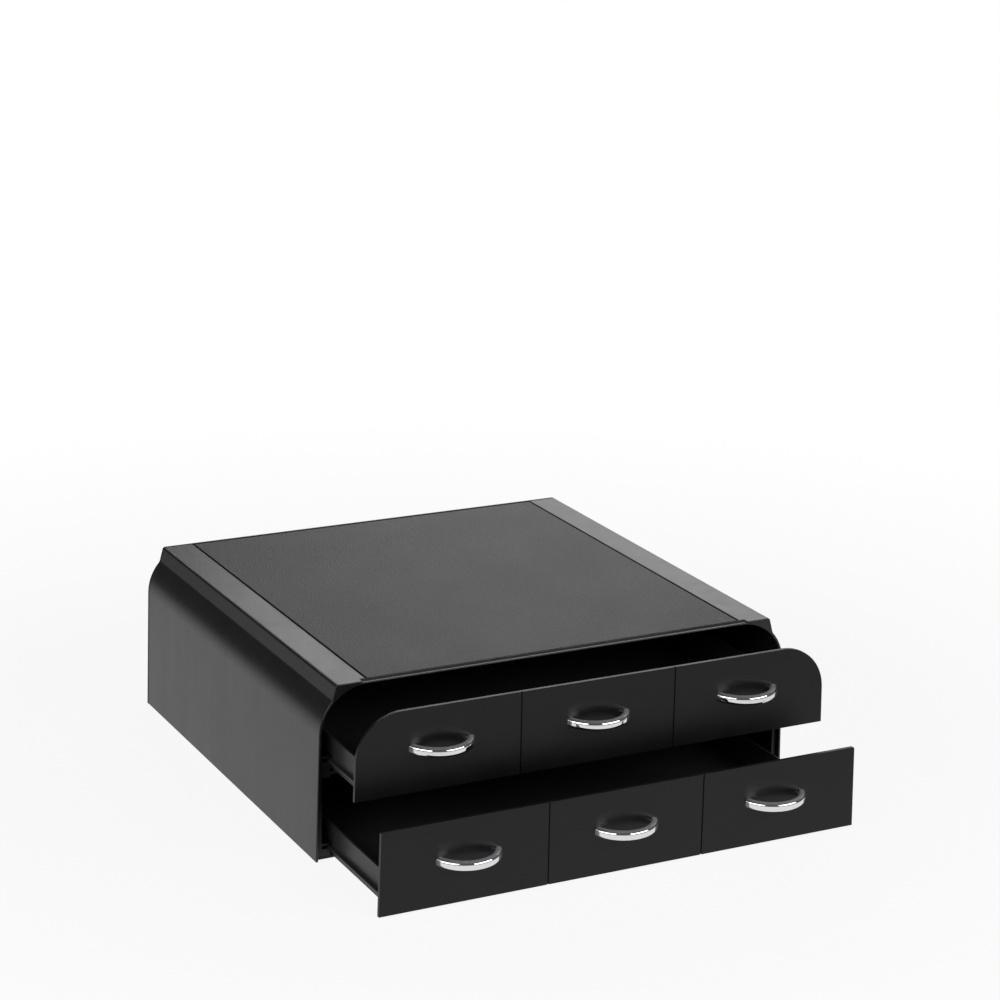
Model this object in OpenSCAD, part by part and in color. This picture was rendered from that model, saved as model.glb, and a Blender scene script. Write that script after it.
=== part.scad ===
// Low countertop cabinet with two wide drawers, one above the other.
// X runs across the width, Y from front (-Y) to back (+Y), Z up.
// The origin is the centre of the standing plane. Both drawers stand partly open.

/* [Cabinet] */
// Outside width of the shell at its standing edge
cabinet_w = 350; // [330:1:400]
// Overall depth, back panel included
cabinet_d = 316; // [280:1:360]
// Height from the standing plane to the top of the deck
cabinet_h = 119.4; // [112:0.1:160]
// Thickness of the side walls
wall_t = 1.7; // [1.4:0.1:2.4]
// Angle by which the side walls lean inwards on their way up
wall_lean = 1.5; // [0:0.1:2]
// Outside radius of the rounded shoulders
shoulder_r = 34; // [28:1:40]
// Thickness of the deck over the upper drawer
deck_t = 2; // [1.8:0.1:3]
// Distance of the deck's top edges from the cabinet's sides
deck_inset = 14.3; // [13.5:0.1:16]
// Angle by which the deck's side faces lean inwards
deck_lean = 15; // [8:1:20]
// Radius along the deck's top edges
deck_edge_r = 2.2; // [1:0.1:3]
// Radius of the hollow between the deck's sides and the shoulders
crease_r = 6; // [3:0.5:8]
// Thickness of the back panel
back_t = 2; // [1.5:0.1:3]
// Thickness of the base panel
base_t = 1.7; // [1.6:0.1:2.4]
// Thickness of the shelf between the tiers
shelf_t = 2; // [1.6:0.1:2.6]
// Depth of the stiffening ribs under the deck
deck_rib_h = 4; // [2:0.5:5]
// Thickness of the stiffening ribs under the deck
deck_rib_t = 1.6; // [1:0.1:2.4]

/* [Top panel] */
// Width of the grained panel let into the deck
panel_w = 275; // [240:0.2:290]
// Thickness of the grained panel
panel_t = 1; // [0.6:0.1:1.2]
// Width of the groove left along the panel's sides and back
panel_groove = 1.4; // [0.5:0.1:2]
// Depth, front to back, of the ramp in front of the panel
ramp_l = 5; // [3:0.5:8]
// Drop of the ramp from the deck to the front lip
ramp_drop = 0.9; // [0.4:0.1:1.2]

/* [Drawer fronts] */
// Thickness of a drawer front
front_t = 2.6; // [2.2:0.1:4]
// Gap all round a closed front inside the opening
front_gap = 0.4; // [0.3:0.1:1]
// Gap between the lower front and the standing plane
floor_gap = 1.3; // [1:0.1:2]
// Gap between the two fronts
tier_gap = 4; // [3:0.1:5]
// How much wider an outer column of a front is than the middle one, up to the cabinet's side
column_extra = 7; // [0:0.5:14]
// Width of a dividing groove
groove_w = 1; // [0.6:0.1:1.6]
// Depth of a dividing groove
groove_depth = 0.9; // [0.4:0.1:1.4]
// Radius of the small corners of the fronts
front_corner_r = 1.2; // [0.4:0.1:2]

/* [Drawer positions] */
// How far the upper drawer stands open
upper_open = 52.2; // [0:0.1:200]
// How far the lower drawer stands open
lower_open = 92.8; // [0:0.1:200]
// Travel of a drawer from closed to its stop
drawer_travel = 235; // [200:1:240]

/* [Trays] */
// Room between the cabinet's side and a tray's wall
tray_inset = 12.6; // [12.2:0.1:18]
// Height of a tray's walls over its underside
tray_h = 20.8; // [16:0.2:30]
// Thickness of a tray's walls
tray_wall_t = 1.6; // [1.2:0.1:2.4]
// Thickness of a tray's floor
tray_floor_t = 1.6; // [1.2:0.1:2.4]
// Radius of a tray's rear corners
tray_corner_r = 9; // [4:1:16]
// Height of the sliding flange's underside over the tray's underside
flange_lift = 5.1; // [4.6:0.1:8]
// Distance that the sliding flange stands out of the wall
flange_w = 2.9; // [2:0.1:4]
// Thickness of the sliding flange
flange_t = 1.5; // [1:0.1:2]
// Size of the bevel where the floor meets the walls inside
cove = 3; // [1:0.5:5]
// Clear space behind a closed tray
tray_back_gap = 1; // [0.6:0.1:3]
// Clear height under a tray
tray_under_gap = 0.4; // [0.3:0.1:1]

/* [Runners] */
// Depth of the channel that takes the sliding flange
channel_w = 6; // [5.6:0.2:7]
// Gap between the tray's wall and the runner's ledges
side_clear = 0.8; // [0.4:0.1:1.5]
// Gap above and below the sliding flange in its channel
slide_clear = 0.3; // [0.2:0.1:0.6]
// Thickness of the ledge over the channel
ledge_t = 1.7; // [1.2:0.1:2.4]
// Number of windows along a lower runner
window_count = 6; // [4:1:8]
// Width of the posts between the windows
window_post = 14; // [8:1:24]
// Height and length of the stop lugs
stop_size = 4; // [3:0.5:6]

/* [Handles] */
// Distance of an outer handle's centre from the middle of its column, towards the middle handle
handle_shift = 4; // [0:0.5:8]
// Width of a handle over its two feet
handle_span = 46.2; // [40:0.2:60]
// Distance that a handle stands out of the front
handle_reach = 16; // [14:0.5:20]
// Height of the handle's bar
handle_bar_h = 6.2; // [5.6:0.1:8]
// Thickness of the handle's bar in plan
handle_bar_t = 5.6; // [5:0.1:7]
// Radius along the edges of the handle's bar
handle_edge_r = 2.3; // [0.4:0.1:2.4]
// Height of the handles' centre over the middle of the front
handle_lift = 1.6; // [0:0.1:6]

/* [Feet] */
// Diameter of a foot
foot_d = 16; // [10:1:24]
// Thickness of a foot
foot_t = 1.4; // [1.2:0.1:2]
// Height by which a foot stands out under the cabinet
foot_proud = 0.5; // [0.4:0.1:0.8]
// Distance from the cabinet's sides and ends to a corner foot's centre
foot_inset = 24; // [20:1:50]

/* [Screws] */
// Diameter of the screws' threaded shanks
screw_d = 2.2; // [1.8:0.1:2.4]
// Diameter of the screws' heads
screw_head_d = 4.6; // [3.8:0.1:5]
// Height of the screws' heads
screw_head_h = 1.2; // [0.8:0.1:1.4]
// Gap round a shank in a through hole
screw_gap = 0.3; // [0.2:0.1:0.5]

/* [Hidden] */
$fn = 96;
eps = 0.01;          // overshoot of a cutting solid
fit_gap = 0.2;       // gap between pieces that are assembled side by side
pilot_gap = 0.05;    // gap round a shank in its pilot hole
pilot_extra = 0.5;   // pilot hole's depth past the screw's tip
back_rim = 1.5;      // reach of the back panel's locating rim into the shell
rim_t = 1.6;         // thickness of that rim
shelf_setback = 1;   // gap between a closed front's inner face and the panels behind it
crease_bite = 0.02;  // depth by which the hollow's curve cuts into the faces beside it
deck_rib_rows = 7;   // ribs that run front to back
deck_rib_bars = 4;   // ribs that run across

// Half width of a leaning side at a height
function lean_x(half_w, z) = half_w - z * tan(wall_lean);
function wall_x(z) = lean_x(cabinet_w / 2 - wall_t, z);

deck_w = cabinet_w - 2 * deck_inset;
tray_w = cabinet_w - 2 * tray_inset;
front_y = -cabinet_d / 2;
back_y = cabinet_d / 2;
shell_back_y = back_y - back_t;
opening_top = cabinet_h - deck_t;
inner_r = shoulder_r - wall_t;

under_z = foot_proud;
base_top = under_z + base_t;
front_h = (opening_top - front_gap - floor_gap - tier_gap) / 2;
tier_pitch = front_h + tier_gap;
lower_front_z = floor_gap;
upper_front_z = floor_gap + tier_pitch;
shelf_z = floor_gap + front_h + (tier_gap - shelf_t) / 2;
shelf_top = shelf_z + shelf_t;
lower_tray_z = base_top + tray_under_gap;
upper_tray_z = lower_tray_z + tier_pitch;

tray_front_y = front_y + front_t;
tray_back_y = shell_back_y - back_rim - tray_back_gap;
tray_l = tray_back_y - tray_front_y;
panels_front_y = tray_front_y + shelf_setback;
panels_l = shell_back_y - panels_front_y;

ledge_x = tray_w / 2 + side_clear;
web_x = ledge_x + channel_w;
upper_web_top = min(upper_tray_z + tray_h, cabinet_h - shoulder_r - 2);
stop_nib_y = tray_back_y - tray_corner_r - stop_size;
stop_lug_y = stop_nib_y - drawer_travel - slide_clear - stop_size;

runner_screw_x = ledge_x + channel_w / 2;
runner_screw_y = panels_l * 0.38;
corner_screw_x = deck_w / 2 - 3.4;
corner_screw_z = cabinet_h - 4.9;
back_screw_l = 7;
base_screw_l = base_t + flange_lift - slide_clear - 1;
shelf_screw_l = ledge_t + shelf_t + 5;

handle_r = (pow(handle_span / 2, 2) + pow(handle_reach, 2)) / (2 * handle_reach);
handle_centre_y = handle_r - handle_reach;
handle_foot_inner_x = sqrt(pow(handle_r - handle_bar_t, 2) - pow(handle_centre_y, 2));
handle_foot_x = handle_foot_inner_x + screw_d / 2 + 1;
handle_screw_l = front_t + handle_reach * 0.2;
front_screw_x = tray_w / 8;
front_screw_z = tray_h * 0.55;
front_screw_l = tray_wall_t + front_t - 0.9;

groove_pitch = (cabinet_w - 2 * column_extra) / 3;
handle_pitch = (cabinet_w + groove_pitch) / 4 - handle_shift;

foot_x = cabinet_w / 2 - foot_inset;
foot_y = cabinet_d / 2 - foot_inset;
foot_seat_h = foot_t - foot_proud;

// ---------- shared shapes ----------

// Outline with straight sides that lean inwards and rounded top corners
module arch(half_w, bottom, top, lean, r) {
    cz = top - r;
    cx = half_w - (cz - bottom) * tan(lean) - r / cos(lean);
    tangent = [cx + r * cos(lean), cz + r * sin(lean)];
    polygon([
        [-half_w, bottom], [half_w, bottom], tangent, [cx, cz], [cx, top],
        [-cx, top], [-cx, cz], [-tangent[0], tangent[1]]
    ]);
    intersection() {
        for (side = [-1, 1]) translate([side * cx, cz]) circle(r);
        translate([-half_w, bottom]) square([2 * half_w, top - bottom]);
    }
}

// Rectangle with four rounded corners, centred across and standing on its lower edge
module rounded_rect(w, h, r) {
    translate([-w / 2 + r, 0]) square([w - 2 * r, h]);
    translate([-w / 2, r]) square([w, h - 2 * r]);
    for (side = [-1, 1], end = [r, h - r]) translate([side * (w / 2 - r), end]) circle(r);
}

// Stands an XZ outline up and gives it a length from y0 towards the back
module along_y(y0, l) {
    translate([0, y0 + l, 0]) rotate([90, 0, 0]) linear_extrude(l) children();
}

// Screw along +Y with its pan head's underside at the origin
module screw(l) {
    rotate([-90, 0, 0]) {
        cylinder(h = l, d = screw_d);
        difference() {
            translate([0, 0, -screw_head_h]) cylinder(h = screw_head_h, d = screw_head_d);
            translate([0, 0, -screw_head_h - eps]) cylinder(h = screw_head_h / 2, d = screw_d * 0.8, $fn = 6);
        }
    }
}

// Countersunk screw along +Z with its head flush with z = 0
module flush_screw(l) {
    difference() {
        union() {
            cylinder(h = l, d = screw_d);
            cylinder(h = screw_head_h, d1 = screw_head_d, d2 = screw_d);
        }
        translate([0, 0, -eps]) cylinder(h = screw_head_h / 2, d = screw_d * 0.8, $fn = 6);
    }
}

module pilot_hole(l) {
    cylinder(h = l, d = screw_d + 2 * pilot_gap);
}

module through_hole(l) {
    cylinder(h = l, d = screw_d + 2 * screw_gap);
}

// Countersink and through hole for a flush screw that enters at z = 0
module flush_seat(l) {
    translate([0, 0, -eps]) through_hole(l + 2 * eps);
    wide = screw_head_d + 2 * pilot_gap;
    translate([0, 0, -eps]) cylinder(h = screw_head_h, d1 = wide, d2 = screw_d + 2 * pilot_gap);
}

// ---------- cabinet ----------

// Fills the crease between the deck's right side and the shoulder with a hollow curve
module crease_fill() {
    outwards = [cos(deck_lean), sin(deck_lean)];
    upwards = [-sin(deck_lean), cos(deck_lean)];
    shoulder_z = cabinet_h - shoulder_r;
    shoulder = [lean_x(cabinet_w / 2, shoulder_z) - shoulder_r / cos(wall_lean), shoulder_z];
    off = (deck_w / 2 - shoulder[0]) * outwards[0] + shoulder_r * outwards[1] + crease_r - crease_bite;
    reach = shoulder_r + crease_r - crease_bite;
    centre = shoulder + off * outwards + sqrt(reach * reach - off * off) * upwards;
    in_deck = centre - (crease_r + 1) * outwards;
    in_shoulder = shoulder + (centre - shoulder) * (shoulder_r - 1) / reach;
    difference() {
        polygon([in_deck, in_shoulder, centre]);
        translate(centre) circle(crease_r);
    }
}

module shell_outline() {
    arch(lean_x(cabinet_w / 2, under_z), under_z, cabinet_h, wall_lean, shoulder_r);
    deck_foot_z = cabinet_h - shoulder_r / 2;
    deck_half = deck_w / 2 + (cabinet_h - deck_foot_z) * tan(deck_lean);
    arch(deck_half, deck_foot_z, cabinet_h, deck_lean, deck_edge_r);
    for (side = [0, 1]) mirror([side, 0]) crease_fill();
}

module opening_outline(gap, bottom) {
    arch(wall_x(bottom) - gap, bottom, opening_top - gap, wall_lean, inner_r - gap);
}

// Draws a thing on the right and its mirror image on the left
module both_sides() {
    for (side = [0, 1]) mirror([side, 0, 0]) children();
}

module runner_screw_places() {
    for (y = [-runner_screw_y, 0, runner_screw_y]) translate([runner_screw_x, y, 0]) children();
}

module back_screw_places() {
    both_sides() {
        translate([corner_screw_x, back_y, corner_screw_z]) children();
        translate([runner_screw_x + 1.5, back_y, (base_top + lower_tray_z + flange_lift) / 2]) children();
        translate([runner_screw_x + 1.5, back_y, (shelf_top + upper_tray_z + flange_lift) / 2]) children();
    }
}

module deck_ribs() {
    rib_field_w = 2 * (cabinet_w / 2 - wall_t - shoulder_r) - 8;
    rib_field_l = panels_l - 12;
    for (i = [0 : deck_rib_rows - 1]) {
        x = -rib_field_w / 2 + i * rib_field_w / (deck_rib_rows - 1);
        translate([x - deck_rib_t / 2, panels_front_y + 6, opening_top - deck_rib_h])
            cube([deck_rib_t, rib_field_l, deck_rib_h + eps]);
    }
    for (j = [0 : deck_rib_bars - 1]) {
        y = panels_front_y + 6 + j * (rib_field_l - deck_rib_t) / (deck_rib_bars - 1);
        translate([-rib_field_w / 2, y, opening_top - deck_rib_h])
            cube([rib_field_w, deck_rib_t, deck_rib_h + eps]);
    }
}

module front_ramp() {
    ramp_w = panel_w + 2 * panel_groove + 8;
    cut = [[0, -ramp_drop], [ramp_l * 0.35, -ramp_drop], [ramp_l, 0], [ramp_l, 1], [-1, 1], [-1, -ramp_drop]];
    translate([-ramp_w / 2, front_y, cabinet_h]) rotate([90, 0, 90]) linear_extrude(ramp_w) polygon(cut);
}

module housing_shell() color("#2b2a2b") {
    difference() {
        along_y(front_y, shell_back_y - front_y) shell_outline();
        along_y(front_y - eps, cabinet_d) opening_outline(0, under_z - eps);
        recess_w = panel_w + 2 * panel_groove;
        translate([-recess_w / 2, front_y + ramp_l, cabinet_h - panel_t])
            cube([recess_w, cabinet_d, panel_t + eps]);
        front_ramp();
        back_screw_places() translate([0, -back_screw_l, 0]) rotate([-90, 0, 0]) pilot_hole(back_screw_l);
    }
    deck_ribs();
}

module top_panel() color("#343334") {
    translate([-panel_w / 2, front_y + ramp_l, cabinet_h - panel_t])
        cube([panel_w, shell_back_y - panel_groove - front_y - ramp_l, panel_t]);
}

module back_panel() color("#262526") {
    difference() {
        along_y(shell_back_y, back_t) shell_outline();
        back_screw_places() translate([0, -back_t - eps, 0]) rotate([-90, 0, 0]) through_hole(back_t + 2 * eps);
    }
    // Locating rim, only where no runner or panel ends against the back
    rim_bottom = upper_web_top + 1;
    difference() {
        along_y(shell_back_y - back_rim, back_rim + eps) opening_outline(fit_gap, rim_bottom);
        along_y(shell_back_y - back_rim - eps, back_rim + eps) opening_outline(fit_gap + rim_t, rim_bottom - eps);
    }
}

module panel_slab(z, t) {
    along_y(panels_front_y, panels_l) polygon([
        [-wall_x(z) + fit_gap, z], [wall_x(z) - fit_gap, z],
        [wall_x(z + t) - fit_gap, z + t], [-wall_x(z + t) + fit_gap, z + t]
    ]);
}

module foot_places() {
    for (x = [-foot_x, foot_x], y = [-foot_y, foot_y]) translate([x, y, 0]) children();
    children();
}

module base_panel() color("#232223") {
    difference() {
        panel_slab(under_z, base_t);
        foot_places() translate([0, 0, under_z - eps]) cylinder(h = foot_seat_h + eps, d = foot_d + 2 * fit_gap);
        both_sides() runner_screw_places() translate([0, 0, under_z]) flush_seat(base_t);
    }
}

module mid_shelf() color("#232223") {
    difference() {
        panel_slab(shelf_z, shelf_t);
        both_sides() runner_screw_places() translate([0, 0, shelf_z - eps]) through_hole(shelf_t + 2 * eps);
    }
}

// Right-hand runner's section: foot block, channel for the flange and web against the wall
module runner_section(foot_z, tray_z, top_z) {
    channel_z = tray_z + flange_lift - slide_clear;
    ledge_z = tray_z + flange_lift + flange_t + slide_clear;
    polygon([
        [ledge_x, foot_z], [wall_x(foot_z), foot_z], [wall_x(top_z), top_z], [web_x, top_z],
        [web_x, ledge_z + ledge_t], [ledge_x, ledge_z + ledge_t], [ledge_x, ledge_z], [web_x, ledge_z],
        [web_x, channel_z], [ledge_x, channel_z]
    ]);
}

module stop_lug(tray_z) {
    z = tray_z + flange_lift + flange_t + slide_clear + ledge_t - eps;
    translate([ledge_x, stop_lug_y, z]) cube([channel_w + 1, stop_size, stop_size]);
}

module runner_windows(z0, z1) {
    span = (panels_l - window_post) / window_count;
    for (i = [0 : window_count - 1]) {
        y = panels_front_y + window_post / 2 + (i + 0.5) * span;
        translate([web_x - eps, y, z0]) rotate([90, 0, 90])
            linear_extrude(cabinet_w) rounded_rect(span - window_post, z1 - z0, 5);
    }
}

module lower_runner() color("#1f1f20") {
    ledge_top = lower_tray_z + flange_lift + flange_t + slide_clear + ledge_t;
    difference() {
        union() {
            along_y(panels_front_y, panels_l) {
                runner_section(base_top, lower_tray_z, shelf_z);
                // Flange that carries the shelf
                translate([ledge_x, shelf_z - ledge_t]) square([channel_w + 1, ledge_t]);
            }
            stop_lug(lower_tray_z);
        }
        runner_windows(ledge_top + stop_size + 2, shelf_z - ledge_t - 4);
        runner_screw_places() translate([0, 0, base_top - eps]) pilot_hole(flange_lift - slide_clear - 1 + pilot_extra);
        runner_screw_places() translate([0, 0, shelf_z - ledge_t - eps]) through_hole(ledge_t + 2 * eps);
        back_screw_places() translate([0, -back_screw_l, 0]) rotate([-90, 0, 0]) pilot_hole(back_screw_l);
    }
}

module upper_runner() color("#1f1f20") {
    difference() {
        union() {
            along_y(panels_front_y, panels_l) runner_section(shelf_top, upper_tray_z, upper_web_top);
            stop_lug(upper_tray_z);
        }
        runner_screw_places() translate([0, 0, shelf_top - eps]) pilot_hole(5 + pilot_extra);
        back_screw_places() translate([0, -back_screw_l, 0]) rotate([-90, 0, 0]) pilot_hole(back_screw_l);
    }
}

module lower_right_runner() lower_runner();
module lower_left_runner() mirror([1, 0, 0]) lower_runner();
module upper_right_runner() upper_runner();
module upper_left_runner() mirror([1, 0, 0]) upper_runner();

module foot(x, y) color("#111111") {
    translate([x, y, 0]) cylinder(h = foot_t, d = foot_d);
}

module foot_front_left() foot(-foot_x, -foot_y);
module foot_front_right() foot(foot_x, -foot_y);
module foot_rear_left() foot(-foot_x, foot_y);
module foot_rear_right() foot(foot_x, foot_y);
module foot_centre() foot(0, 0);

module base_screws() color("#8c8c8c") {
    both_sides() runner_screw_places() translate([0, 0, under_z]) flush_screw(base_screw_l);
}

module shelf_screws() color("#8c8c8c") {
    both_sides() runner_screw_places()
        translate([0, 0, shelf_z - ledge_t]) rotate([90, 0, 0]) screw(shelf_screw_l);
}

module back_screws() color("#8c8c8c") {
    back_screw_places() rotate([0, 0, 180]) screw(back_screw_l - pilot_extra);
}

// ---------- drawers ----------
// Each drawer is drawn closed and then pulled out by its own amount.

module pulled_out(open) {
    translate([0, -open, 0]) children();
}

module tray_outline(inset) {
    w = tray_w - 2 * inset;
    r = tray_corner_r - inset;
    l = tray_l - 2 * inset;
    translate([0, tray_front_y + inset]) {
        translate([-w / 2, 0]) square([w, l - r]);
        translate([-w / 2 + r, 0]) square([w - 2 * r, l]);
        for (side = [-1, 1]) translate([side * (w / 2 - r), l - r]) circle(r);
    }
}

// Bevel along the foot of the walls inside
module tray_cove() {
    half = tray_w / 2 - tray_wall_t;
    corner = [[0, 0], [-cove, 0], [0, cove]];
    both_sides() along_y(tray_front_y, tray_l - tray_corner_r)
        translate([half + eps, tray_floor_t - eps]) polygon(corner);
    translate([-tray_w / 2 + tray_corner_r, 0, 0]) rotate([90, 0, 90]) linear_extrude(tray_w - 2 * tray_corner_r)
        translate([tray_back_y - tray_wall_t + eps, tray_floor_t - eps]) polygon(corner);
}

module front_screw_places() {
    for (i = [-3 : 2 : 3]) translate([i * front_screw_x, 0, front_screw_z]) children();
}

module tray() {
    difference() {
        union() {
            linear_extrude(tray_h) tray_outline(0);
            // Sliding flanges
            both_sides() translate([tray_w / 2 - eps, tray_front_y, flange_lift])
                cube([flange_w + eps, tray_l - tray_corner_r, flange_t]);
            // Stop nibs at the rear
            nib_z = flange_lift + flange_t + 2 * slide_clear + ledge_t;
            both_sides() translate([tray_w / 2 - eps, stop_nib_y, nib_z])
                cube([side_clear + 1.5, stop_size, stop_size - slide_clear]);
        }
        translate([0, 0, tray_floor_t]) linear_extrude(tray_h) tray_outline(tray_wall_t);
        front_screw_places() translate([0, tray_front_y - eps, 0])
            rotate([-90, 0, 0]) through_hole(tray_wall_t + 2 * eps);
    }
    tray_cove();
}

module handle_places() {
    for (i = [-1 : 1]) translate([i * handle_pitch, 0, 0]) children();
}

module front_grooves(z) {
    for (side = [-1, 1])
        translate([side * groove_pitch / 2 - groove_w / 2, front_y - eps, z - 1])
            cube([groove_w, groove_depth + eps, front_h + 2]);
}

// Holes and grooves that both fronts have
module front_cuts(z, tray_z) {
    front_grooves(z);
    handle_places() both_sides() translate([handle_foot_x, front_y - eps, z + front_h / 2 + handle_lift])
        rotate([-90, 0, 0]) through_hole(front_t + 2 * eps);
    translate([0, 0, tray_z]) front_screw_places() translate([0, tray_front_y - front_screw_l + tray_wall_t, 0])
        rotate([-90, 0, 0]) pilot_hole(front_screw_l);
}

// Bow handle: a ring of rounded section, cut off at the face of the front
module handle(place, z) color("#c9cbce") {
    outer = handle_r;
    inner = handle_r - handle_bar_t;
    translate([place * handle_pitch, 0, z + front_h / 2 + handle_lift]) difference() {
        intersection() {
            translate([0, front_y + handle_centre_y, -handle_bar_h / 2]) rotate_extrude()
                translate([(outer + inner) / 2, 0]) rounded_rect(outer - inner, handle_bar_h, handle_edge_r);
            translate([-outer, front_y - 2 * outer, -handle_bar_h]) cube([2 * outer, 2 * outer, 2 * handle_bar_h]);
        }
        both_sides() translate([handle_foot_x, front_y + eps, 0])
            rotate([90, 0, 0]) pilot_hole(handle_screw_l - front_t + pilot_extra);
    }
}

module handle_screws(z) color("#8c8c8c") {
    handle_places() both_sides() translate([handle_foot_x, tray_front_y, z + front_h / 2 + handle_lift])
        rotate([0, 0, 180]) screw(handle_screw_l);
}

module front_screws(tray_z) color("#8c8c8c") {
    translate([0, 0, tray_z]) front_screw_places() translate([0, tray_front_y + tray_wall_t, 0])
        rotate([0, 0, 180]) screw(front_screw_l - pilot_extra / 2);
}

module lower_tray() color("#39383a") pulled_out(lower_open) translate([0, 0, lower_tray_z]) tray();
module upper_tray() color("#39383a") pulled_out(upper_open) translate([0, 0, upper_tray_z]) tray();

module lower_front() color("#2d2c2d") pulled_out(lower_open) difference() {
    along_y(front_y, front_t)
        arch(wall_x(lower_front_z) - front_gap, lower_front_z, lower_front_z + front_h, wall_lean, front_corner_r);
    front_cuts(lower_front_z, lower_tray_z);
}

module upper_front() color("#2d2c2d") pulled_out(upper_open) difference() {
    along_y(front_y, front_t) opening_outline(front_gap, upper_front_z);
    front_cuts(upper_front_z, upper_tray_z);
}

module lower_left_handle() pulled_out(lower_open) handle(-1, lower_front_z);
module lower_middle_handle() pulled_out(lower_open) handle(0, lower_front_z);
module lower_right_handle() pulled_out(lower_open) handle(1, lower_front_z);
module upper_left_handle() pulled_out(upper_open) handle(-1, upper_front_z);
module upper_middle_handle() pulled_out(upper_open) handle(0, upper_front_z);
module upper_right_handle() pulled_out(upper_open) handle(1, upper_front_z);

module lower_handle_screws() pulled_out(lower_open) handle_screws(lower_front_z);
module upper_handle_screws() pulled_out(upper_open) handle_screws(upper_front_z);
module lower_front_screws() pulled_out(lower_open) front_screws(lower_tray_z);
module upper_front_screws() pulled_out(upper_open) front_screws(upper_tray_z);

housing_shell();
top_panel();
back_panel();
base_panel();
mid_shelf();
lower_left_runner();
lower_right_runner();
upper_left_runner();
upper_right_runner();
foot_front_left();
foot_front_right();
foot_rear_left();
foot_rear_right();
foot_centre();
base_screws();
shelf_screws();
back_screws();
lower_tray();
lower_front();
lower_left_handle();
lower_middle_handle();
lower_right_handle();
lower_handle_screws();
lower_front_screws();
upper_tray();
upper_front();
upper_left_handle();
upper_middle_handle();
upper_right_handle();
upper_handle_screws();
upper_front_screws();
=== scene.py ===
"""Looks of a low cabinet with two wide drawers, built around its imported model.

The drawers stand partly open. Every piece rides on the cabinet or on one of the drawers.
"""

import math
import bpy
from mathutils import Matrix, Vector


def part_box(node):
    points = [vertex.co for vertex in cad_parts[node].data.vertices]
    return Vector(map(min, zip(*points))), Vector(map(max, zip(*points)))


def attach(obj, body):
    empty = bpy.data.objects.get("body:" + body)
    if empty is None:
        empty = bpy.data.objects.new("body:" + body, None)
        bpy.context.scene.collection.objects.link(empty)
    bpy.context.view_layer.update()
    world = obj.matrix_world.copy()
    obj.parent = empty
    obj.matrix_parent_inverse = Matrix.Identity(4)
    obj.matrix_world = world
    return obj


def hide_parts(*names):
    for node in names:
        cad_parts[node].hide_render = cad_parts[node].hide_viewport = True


bl_info = {
    "name": "Two-Drawer Cabinet",
    "version": (1, 0, 0),
    "blender": (4, 5, 0),
    "location": "3D View > Sidebar > Cabinet",
    "description": "Mouldings, handles, fasteners and finishes of a low cabinet with two drawers",
    "category": "Object",
}

import bmesh
import bpy
from mathutils import Matrix, Vector

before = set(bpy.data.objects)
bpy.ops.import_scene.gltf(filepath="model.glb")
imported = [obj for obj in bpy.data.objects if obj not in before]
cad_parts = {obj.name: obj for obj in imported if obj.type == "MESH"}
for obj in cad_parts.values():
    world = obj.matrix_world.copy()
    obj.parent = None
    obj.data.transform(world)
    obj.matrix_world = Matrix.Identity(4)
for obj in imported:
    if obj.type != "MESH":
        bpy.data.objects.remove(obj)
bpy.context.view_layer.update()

MM = 0.001
DRAWERS = ("lower", "upper")
PLACES = ("left", "middle", "right")

# Points closer than this are one point, and faces that meet flatter than this are one face.
MERGE_DISTANCE = 1e-6
FLAT_ANGLE = math.radians(0.5)
# Edges sharper than the first are rounded, and smooth shading breaks at the second.
EDGE_ANGLE = math.radians(12)
CREASE_ANGLE = math.radians(50)

SCREW_HEAD_HEIGHT = 1.2 * MM
SCREW_SHANK_RADIUS = 1.08 * MM
FLUSH_SEAT_RADIUS = 1.1 * MM
PAN_DOME = 0.55
FLUSH_DOME = 0.06

WHITE = (1, 1, 1, 1)
BLACK = (0, 0, 0, 1)
FLOOR_REACH = 8
LIT_POINT = (0, 0, 0.06)
PLAIN_TINT = (1, 1, 1)
COOL_TINT = (0.95, 0.965, 1.0)
# Each light's name, place, width and height, and tint.
LIGHTS = (
    ("left", (-1.84, -0.82, 1.06), (2.2, 0.7), COOL_TINT),
    ("right", (1.06, -1.7, 1.06), (2.1, 0.7), COOL_TINT),
    ("back", (1.48, 1.55, 0.75), (2.1, 0.8), PLAIN_TINT),
    ("rim", (0.56, 1.88, 1.15), (1.9, 0.35), PLAIN_TINT),
)


# ---------- shader maths ----------


class Value:
    """A shader socket that takes part in Python sums by adding Math nodes."""

    def __init__(self, graph, socket):
        self.graph = graph
        self.socket = socket

    def math(self, operation, *terms):
        return self.graph.node("ShaderNodeMath", {"operation": operation}, dict(enumerate(terms)))

    def __add__(self, other):
        return self.math("ADD", self, other)

    def __sub__(self, other):
        return self.math("SUBTRACT", self, other)

    def __rsub__(self, other):
        return self.math("SUBTRACT", other, self)

    def __mul__(self, other):
        return self.math("MULTIPLY", self, other)

    def above(self, low, high):
        """0 at low and 1 at high, held between the two."""
        sockets = {"Value": self, "From Min": low, "From Max": high}
        return self.graph.node("ShaderNodeMapRange", {"clamp": True}, sockets)

    __radd__ = __add__
    __rmul__ = __mul__


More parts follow.
